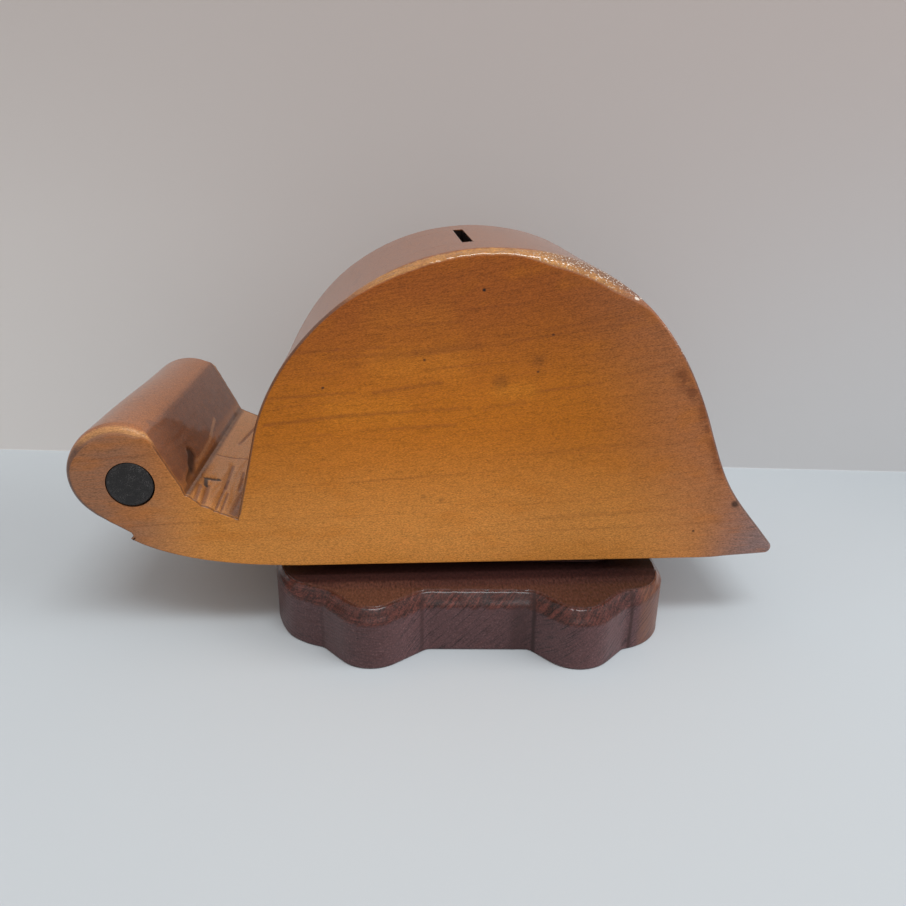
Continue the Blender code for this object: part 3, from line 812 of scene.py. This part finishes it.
def bodyWood():
    made, shader, x, y, z = newPaint("varnished_wood")
    height = z - body["bottom"] * 1000
    faceAt = body["faceAt"] * 1000
    fromFace = faceAt - abs(y)
    rising = height * (1 - 0.0019 * x) - 0.02 * x
    speck = x.vector(x / 0.55, y / 0.45, rising / 0.17).noise(2, 0.6)
    fine = x.vector(x / 7, y / 0.8, rising / 0.45).noise(4, 0.7)
    bands = x.vector(x / 150, y / 45, rising / 2.6).noise(4, 0.6)
    cloud = x.vector(x / 20, y / 18, rising / 9).noise(3, 0.5)
    soft = x.vector(x / 3, y / 3, z / 3).noise(2, 0.5)
    onFace, inEdge = fromFace.falling(0.1, 0.5), fromFace.falling(0.8, 1.7)
    behind = 1 - inEdge
    nape = x.between(-80.5, -78, -72.5, -69.5) * behind * height.smooth(18, 24)
    neck = x.between(-72, -69, -57.5, -55.5) * behind * (1 - nape) * height.falling(26, 32)
    # Wide worked edge over the shell, its rasped corner, and the front edge of the head's top
    inBand = (2.95 + x.smooth(19, 31) - fromFace).smooth(0, 0.4) * fromFace.smooth(0.05, 0.25)
    inBand = inBand * x.between(-30, -12, 40, 54) * height.smooth(62, 68)
    rasped = fromFace.between(0.5, 1.4, 3.3, 3.9) * x.between(22, 36, 60, 70) * height.smooth(50, 60)
    narrow = fromFace.between(0.05, 0.25, 0.6, 1.1) * x.between(56, 59, 65, 69) * height.smooth(44, 50)
    # Painted highlights: whitish flecks for the lamp's glints on the rasped corner, the narrow edge and the
    # band
    paintedGlints = x.vector(x / 0.55, y / 0.45, z / 0.55).noise(1, 0.5).smooth(0.60, 0.66)
    paintedGlints = paintedGlints * (rasped + narrow + 0.6 * inBand * x.smooth(14, 24))
    paintedGlints = paintedGlints * (0.3 + 0.7 * cloud.smooth(0.35, 0.6))
    headEdge = fromFace.falling(1, 2) * (1 - onFace) * x.falling(-76, -73) * height.smooth(36, 40)
    # What lies over the main colour, from the bottom up, as (share, colour)
    layers = [
        # Darker upper part of the faces: partly the wood's mottling, partly painted shade where the varnish
        # reflects less
        ((height + 10 * cloud - 0.06 * x).smooth(50, 84), "upper"),
        ((x + 0.35 * height).smooth(52, 98) * 0.9, "right"),
        ((x - 0.25 * height).smooth(74, 98), "tail"),
        ((-x).smooth(60, 90) * 0.95, "head"),
        (behind * height.smooth(24, 40) * 0.6, "top"),
        # Painted shade and painted reflection of the shell over the nape
        (nape * (0.62 + 0.5 * soft), "nape"),
        (neck * 0.8, "neck"),
        (y.smooth(-14, -30) * neck * 0.85, "worn"),
        (bands.smooth(0.54, 0.74) * 0.26, "line"),
        (cloud.smooth(0.50, 0.72) * 0.35 * onFace, "gold"),
        (fine.smooth(0.45, 0.68) * 0.35, "grain"),
        (inBand * (0.35 + 0.9 * soft), "band"),
        (rasped * (0.45 + 0.6 * soft), "nape"),
        (headEdge * 0.85, "lip"),
    ]
    plane, flat = x.vector(x, height, 0), x.vector(x, height, y + faceAt)
    for markX, markZ, radius, strength in goldPatches:
        left, right = (markX - radius, markZ), (markX + radius, markZ + radius * 0.05)
        layers.append((plane.near(left, right, 0, radius) * strength * (0.6 + 0.8 * soft), "bright"))
    broken = bands.smooth(0.35, 0.6) * 0.4 + fine.smooth(0.35, 0.6) * 0.6
    for x1, z1, x2, z2, half, strength in growthLines:
        line = flat.near((x1, z1), (x2, z2), 0, half * 1.3)
        layers.append((line * strength * 0.8 * broken, "line"))
    for markX, markZ, radius, strength in pinMarks:
        dot = flat.near((markX, markZ), (markX + 0.1, markZ), radius * 0.3, radius * 1.3)
        layers.append((dot * strength, "sootAndShade"))
    colours = {"cut": ("line", 0.65), "tear": ("sootAndShade", 0.92), "ridge": ("neck", 0.8)}
    fromAbove, fromFront = x.vector(x, y, 0), x.vector(height, y, 0)
    for marks, plan, where in ((neckMarks, fromAbove, neck), (napeMarks, fromFront, nape)):
        for start, end, half, _, kind in marks:
            away = plan.fromLine(start, end) * (0.7 + 0.6 * soft)
            colour, strength = colours[kind]
            layers.append((away.falling(half * 0.4, half * 1.2) * strength * where, colour))
    # Painted shade in the crease, over the nape's lower front and where the neck meets the shell's foot;
    # darker along the worked edges; dirt on the right edge of the face
    creaseX, creaseHeight = (noseX + body["creaseFromNose"]) * 1000, body["creaseHeight"] * 1000
    # Painted shade in the crease
    crease = plane.near((creaseX, creaseHeight), (creaseX, creaseHeight + 0.2), 0.5, 1.8)
    # Painted shade over the lower front of the nape
    napeFront = nape * (y + 0.5 * height).falling(-26, -14) * soft.smooth(0.2, 0.55)
    rim = fromFace.between(0.02, 0.12, 0.5, 1.3) * (1 - x.between(-30, -18, 60, 68)) * height.smooth(2, 6)
    rim = rim * (1 - x.falling(-73, -71) * height.smooth(36, 40))
    upper, lower = flat.fromLine((66, 57), (74, 47)), flat.fromLine((74, 47), (82, 28))
    grime = upper.maths("MINIMUM", upper, lower).falling(0.3, 3.5)
    worn = x.vector(x, y, z).near((-79.5, -31, 64), (-77.5, -30, 63), 0.8, 1.9)
    # Painted shade: the walls inside the slot, within the core board, near black
    slotX = (noseX + body["shellTopFromNose"] - chamber["slotAheadOfTop"]) * 1000
    slotHalf = chamber["slotWidth"] * 500
    inSlot = abs(x - slotX).falling(slotHalf + 0.08, slotHalf + 0.16) * height.between(70, 71, 89.4, 89.7)
    layers += [
        (crease * behind * (0.5 + 0.5 * soft), "crease"),
        (napeFront * 0.65, "line"),
        (rim * (0.45 + 0.5 * soft), "rim"),
        (grime * (0.35 + 0.65 * soft.smooth(0.4, 0.6)) * (0.5 + 0.5 * speck) * 0.8, "line"),
        # Painted shade on the neck next to the shell's foot
        (neck * x.smooth(-60.2, -58.4) * 0.75 * y.falling(-12, 0), "nape"),
        (worn * 0.6, "nape"),
        (flat.near((51.5, 77.7, 0.4), (52, 77.4, 0.6), 0.3, 0.6), "paleChipAndGlints"),
        (inSlot * abs(y).falling(19.75, 19.9), "sootAndShade"),
    ]
    # Main colour lighter towards the bottom of the faces: partly the wood's own tone, partly painted
    # reflection of the pale table in the varnish
    tone = height.smooth(6, 45).mix(wood["low"], wood["gold"])
    for share, colour in layers:
        tone = share.mix(tone, wood[colour])
    # Painted shade and light: darker towards the right and over the left of the body, the head's top and the
    # neck lighter
    shade = 1 - 0.12 * x.smooth(5, 45) * (1 - 0.8 * x.smooth(55, 80)) - 0.10 * (-x).between(20, 50, 62, 75)
    shade = shade + 0.12 * behind * (-x).smooth(60, 75) * height.smooth(30, 38) + 0.16 * neck
    tone = tone.scaled(shade * (1 + 1.7 * (speck - 0.5) + 1.2 * (fine - 0.5)))
    tone = (paintedGlints * 0.9).mix(tone, wood["paleChipAndGlints"])
    bumped(shader, fine * 0.4 + speck * 0.6, 0.3, 0.05 * mm)
    polished = inBand.maths("MAXIMUM", inBand, inEdge * height.smooth(62, 68))
    flatFace = fromFace.falling(0.03, 0.08)
    gloss = 0.48 + 0.14 * x.smooth(0, 40) + 0.46 * polished - 0.42 * headEdge - 1.2 * flatFace
    feed(shader, Base_Color=tone, Roughness=0.34, Specular_IOR_Level=0.12, Coat_IOR=1.75,
         Coat_Weight=gloss.maths("MAXIMUM", gloss, 0.04), Coat_Roughness=0.07)
    return made


lacquer = {"dark": (0.032, 0.010, 0.009), "red": (0.092, 0.026, 0.020), "brown": (0.070, 0.030, 0.025),
           "side": (0.115, 0.052, 0.054), "pale": (0.23, 0.16, 0.15), "orange": (0.165, 0.066, 0.036)}
# Concave corners of the base's outline, darkened with painted shade, as places along its front, and how dark
# each is
baseValleys = [(-41.2, 0.35), (-12.7, 0.55), (19.2, 0.9), (47.5, 0.8)]


def baseLacquer():
    made, shader, x, y, z = newPaint("dark_red_lacquer")
    turn = radians(base["turn"])
    fromMiddle = x - base["x"] * 1000
    along = fromMiddle * cos(turn) + y * sin(turn)
    across = y * cos(turn) - fromMiddle * sin(turn)
    speck = x.vector(x / 0.5, y / 0.5, z / 0.5).noise(3, 0.7)
    streak = x.vector(x / 7, y / 7, z / 0.35).noise(4, 0.7)
    slanted = x.vector((along - z) / 0.60, y / 4, (along + z) / 16).noise(2, 0.6)
    ragged = x.vector((along - z) / 1.6, y / 4, (along + z) / 6).noise(3, 0.6)
    cloud = x.vector(x / 7, y / 7, z / 5).noise(3, 0.5)
    flecks = x.vector(x / 0.55, y / 1.4, 0).noise(2, 0.6)
    grained = x.vector(x / 0.7, y / 8, z).noise(3, 0.6).smooth(0.45, 0.7)
    thick, chopped = base["thickness"] * 1000, base["round"] * 1000
    left, right = along.falling(-24, -14), along.smooth(-24, -14)
    onTop = z.smooth(thick - 0.25, thick - 0.05)
    onSide = 1 - onTop
    worked = (z + 3.4 * ragged).smooth(thick - chopped + 0.9, thick - chopped + 1.9)
    worked = worked * (1 - 0.25 * along.smooth(30, 50))
    red = (0.55 * ragged + 0.45 * speck).smooth(0.38, 0.60).mix(lacquer["dark"], lacquer["red"])
    warm = (speck.smooth(0.45, 0.65) * (0.4 + 0.6 * cloud)).mix(lacquer["brown"], lacquer["red"])
    warm = (abs(along + 27).falling(6, 17) * speck * 0.45).mix(warm, lacquer["orange"])
    # Painted shadow: the base's top darker in a band beside the body's front
    warm = (y.smooth(-43.2, -41.4) * 0.8).mix(warm, lacquer["dark"])
    warm = (grained * 0.35).mix(warm, lacquer["dark"])
    tone = (streak.smooth(0.42, 0.62) * left * 0.75).mix(lacquer["side"], lacquer["dark"])
    tone = (slanted.smooth(0.44, 0.62) * right * 0.5).mix(tone, lacquer["dark"])
    tone = (speck.smooth(0.55, 0.72) * 0.16).mix(tone, lacquer["pale"])
    tone = onTop.mix(worked.mix(tone, red), warm)
    lines = (streak - 0.5) * left * 3 + (slanted - 0.5) * right * 3 + (speck - 0.5) * 1.8
    # Painted shade: the base's top darker towards its right end, with random flecks
    topShade = 0.1 - along.smooth(15, 45) * 0.3 + 2.4 * (flecks - 0.5)
    tone = tone.scaled(0.94 + lines * onSide + topShade * onTop)
    # Painted shade in the concave corners of the base's side
    for place, strength in baseValleys:
        line = abs(along - place + 0.5 * (cloud - 0.5)).falling(0.15, 0.9)
        tone = (line * strength * onSide).mix(tone, lacquer["dark"])
    tone = (abs(along - 15.5).falling(1.5, 4) * 0.45 * onSide).mix(tone, lacquer["dark"])
    # Painted light: the base's side at its right end, towards the front, lighter and more orange
    corner = along.smooth(49, 52) * onSide * across.falling(-20, 0)
    tone = (corner * (0.35 + 0.5 * slanted.smooth(0.4, 0.6))).mix(tone, lacquer["orange"])
    bumped(shader, speck * 0.7 + slanted * 0.3, 0.35, 0.12 * mm)
    upper = z.smooth(thick - 1.9, thick - 1.1)
    feed(shader, Base_Color=tone, Roughness=0.42 - 0.12 * worked * onSide, Specular_IOR_Level=0.35,
         Coat_Weight=0.08 + 0.27 * upper + 0.10 * onTop, Coat_Roughness=0.08)
    return made


def satinBlack():
    made, shader, x, y, z = newPaint("black_paint")
    speck = x.vector(x / 0.24, y / 0.24, z / 0.24).noise(2, 0.6)
    cloud = x.vector(x / 2.5, y / 2.5, z / 2.5).noise(2, 0.5)
    pale = speck.smooth(0.5, 0.66) * (0.15 + 0.85 * cloud.smooth(0.4, 0.7))
    tone = pale.mix((0.0075, 0.0063, 0.0063), (0.08, 0.073, 0.072))
    bumped(shader, speck + cloud, 0.5, 0.10 * mm)
    feed(shader, Base_Color=tone, Roughness=0.33 + 0.2 * cloud, Specular_IOR_Level=0.38)
    return made


def stopperRubber():
    made, shader, x, y, z = newPaint("rubber")
    speck = x.vector(x / 0.6, y / 0.6, z / 0.6).noise(3, 0.6)
    tone = speck.mix((0.018, 0.018, 0.018), (0.045, 0.043, 0.042))
    bumped(shader, speck, 0.3, 0.04 * mm)
    feed(shader, Base_Color=tone, Roughness=0.68 + 0.12 * speck)
    return made


def zincSteel():
    made, shader, x, y, z = newPaint("zinc_plated_steel")
    cloud = x.vector(x / 1.2, y / 1.2, z / 1.2).noise(4, 0.6)
    tone = cloud.mix((0.50, 0.47, 0.40), (0.72, 0.69, 0.62))
    feed(shader, Base_Color=tone, Metallic=1.0, Roughness=0.28 + 0.2 * cloud)
    return made


woodPaint, redPaint, blackPaint = bodyWood(), baseLacquer(), satinBlack()
rubberPaint, steelPaint = stopperRubber(), zincSteel()
print("materials made")

dress(sideBoard("frontBoard", -1), "front_board", "bank", woodPaint)
dress(sideBoard("backBoard", 1), "back_board", "bank", woodPaint)
dress(coreBoard("coreBoard"), "core_board", "bank", woodPaint)
dress(eyePlug("frontEye", -1), "front_eye", "bank", blackPaint)
dress(eyePlug("backEye", 1), "back_eye", "bank", blackPaint)
dress(footBase("footBase"), "foot_base", "bank", redPaint)
dress(spacerBoard("spacerBoard"), "spacer_board", "bank", redPaint)
dress(coinStopper("coinStopper"), "coin_stopper", "stopper", rubberPaint)
for number, place in enumerate(screwPlaces(), 1):
    dress(baseScrew(f"baseScrew{number}", place), f"base_screw_{number}", "bank", steelPaint)
print("pieces made")

camera = {"focalPixels": 745, "frame": 906, "pitch": 21.244, "yaw": 4.144, "roll": 0.93,
          "place": (-0.00995, -0.23172, 0.13168)}
stage = {"wallAt": 0.0970, "wallTurn": -5.5, "wallTop": 0.32, "cove": 0.0006, "halfWidth": 1.2, "front": 1.2,
         "worldStrength": 0.585, "worldColour": (1.0, 0.955, 0.92), "lightColour": (0.92, 0.97, 1.0)}
# Lamps as (name, place, size, power, whether reflections show it)
lamps = [("lamp", (0.20, -0.58, 1.56), (1.05, 0.36), 10.3, True),
         ("fill", (2.10, -0.62, 0.80), (1.3, 1.3), 31.0, False)]


def placeCamera():
    data = bpy.data.cameras.new("camera")
    data.sensor_width = 36
    data.lens = 36 * camera["focalPixels"] / camera["frame"]
    data.clip_start = 0.01
    made = bpy.data.objects.new("camera", data)
    bpy.context.scene.collection.objects.link(made)
    turn = Matrix.Rotation(-radians(camera["yaw"]), 4, "Z")
    tip = Matrix.Rotation(pi / 2 - radians(camera["pitch"]), 4, "X")
    lean = Matrix.Rotation(radians(camera["roll"]), 4, "Z")
    made.matrix_world = Matrix.Translation(camera["place"]) @ turn @ tip @ lean
    bpy.context.scene.camera = made


def placeStage():
    # Table top and wall as one sheet with a small cove between them.
    cove, wall, half = stage["cove"], stage["wallAt"], stage["halfWidth"]
    profile = [Vector((-stage["front"], 0))] + arc(Vector((wall - cove, cove)), cove, -pi / 2, 0, 12)
    profile.append(Vector((wall, stage["wallTop"])))
    bm = bmesh.new()
    line = [bm.verts.new((-half, p.x, p.y)) for p in profile]
    lineEdges = [bm.edges.new(pair) for pair in zip(line, line[1:])]
    moved = bmesh.ops.extrude_edge_only(bm, edges=lineEdges)["geom"]
    farSide = [item for item in moved if isinstance(item, bmesh.types.BMVert)]
    bmesh.ops.translate(bm, verts=farSide, vec=(2 * half, 0, 0))
    turn = Matrix.Rotation(radians(stage["wallTurn"]), 4, "Z")
    bm.transform(Matrix.Translation((0, wall, 0)) @ turn @ Matrix.Translation((0, -wall, 0)))
    sheet = meshObject("tableAndWall", bm)
    made, shader, x, y, z = newPaint("table_and_wall")
    cloud = x.vector(x / 90, y / 90, z / 90).noise(2, 0.5)
    table = (cloud * 0.25).mix((0.595, 0.635, 0.665), (0.54, 0.575, 0.615))
    # Painted shade: the table darker towards the back right
    table = (x.smooth(40, 280) * y.smooth(-80, 60) * 0.3).mix(table, (0.30, 0.315, 0.33))
    # Painted light and shade on the wall: lighter towards its foot, most on the left
    left = z.smooth(-40, 260).mix((0.75, 0.72, 0.70), (0.50, 0.447, 0.425))
    right = z.smooth(0, 220).mix((0.555, 0.555, 0.565), (0.485, 0.425, 0.405))
    tone = z.smooth(0.05, 0.4).mix(table, x.smooth(-260, 260).mix(left, right))
    feed(shader, Base_Color=tone, Roughness=0.75, Specular_IOR_Level=0.3)
    # The sheet is there only from its front, so views from behind and below see the object
    behind = x.node("ShaderNodeNewGeometry", {}, {}, "Backfacing")
    paint, clear = Wire(x.tree, shader.outputs[0]), x.node("ShaderNodeBsdfTransparent", {}, {})
    seen = x.node("ShaderNodeMixShader", {}, {0: behind, 1: paint, 2: clear})
    x.tree.links.new(seen.socket, x.tree.nodes["Material Output"].inputs[0])
    widest = max(sheet.data.polygons, key=lambda face: face.area)
    if widest.normal.z < 0:
        sheet.data.flip_normals()
    sheet.data.materials.append(made)


def placeLight():
    world = bpy.data.worlds.new("room")
    bpy.context.scene.world = world
    world.use_nodes = True
    background = world.node_tree.nodes["Background"]
    background.inputs["Color"].default_value = (*stage["worldColour"], 1)
    background.inputs["Strength"].default_value = stage["worldStrength"]
    for name, place, size, power, glossy in lamps:
        light = bpy.data.lights.new(name, "AREA")
        light.shape = "RECTANGLE"
        light.size, light.size_y = size
        light.energy = power
        light.color = stage["lightColour"]
        made = bpy.data.objects.new(name, light)
        made.location = place
        made.visible_glossy = glossy
        made.rotation_euler = (Vector(place) - Vector((0, 0, 0.05))).to_track_quat("Z", "Y").to_euler()
        bpy.context.scene.collection.objects.link(made)


placeCamera()
placeStage()
placeLight()
bpy.context.scene.view_settings.view_transform = "Standard"
print("stage set")
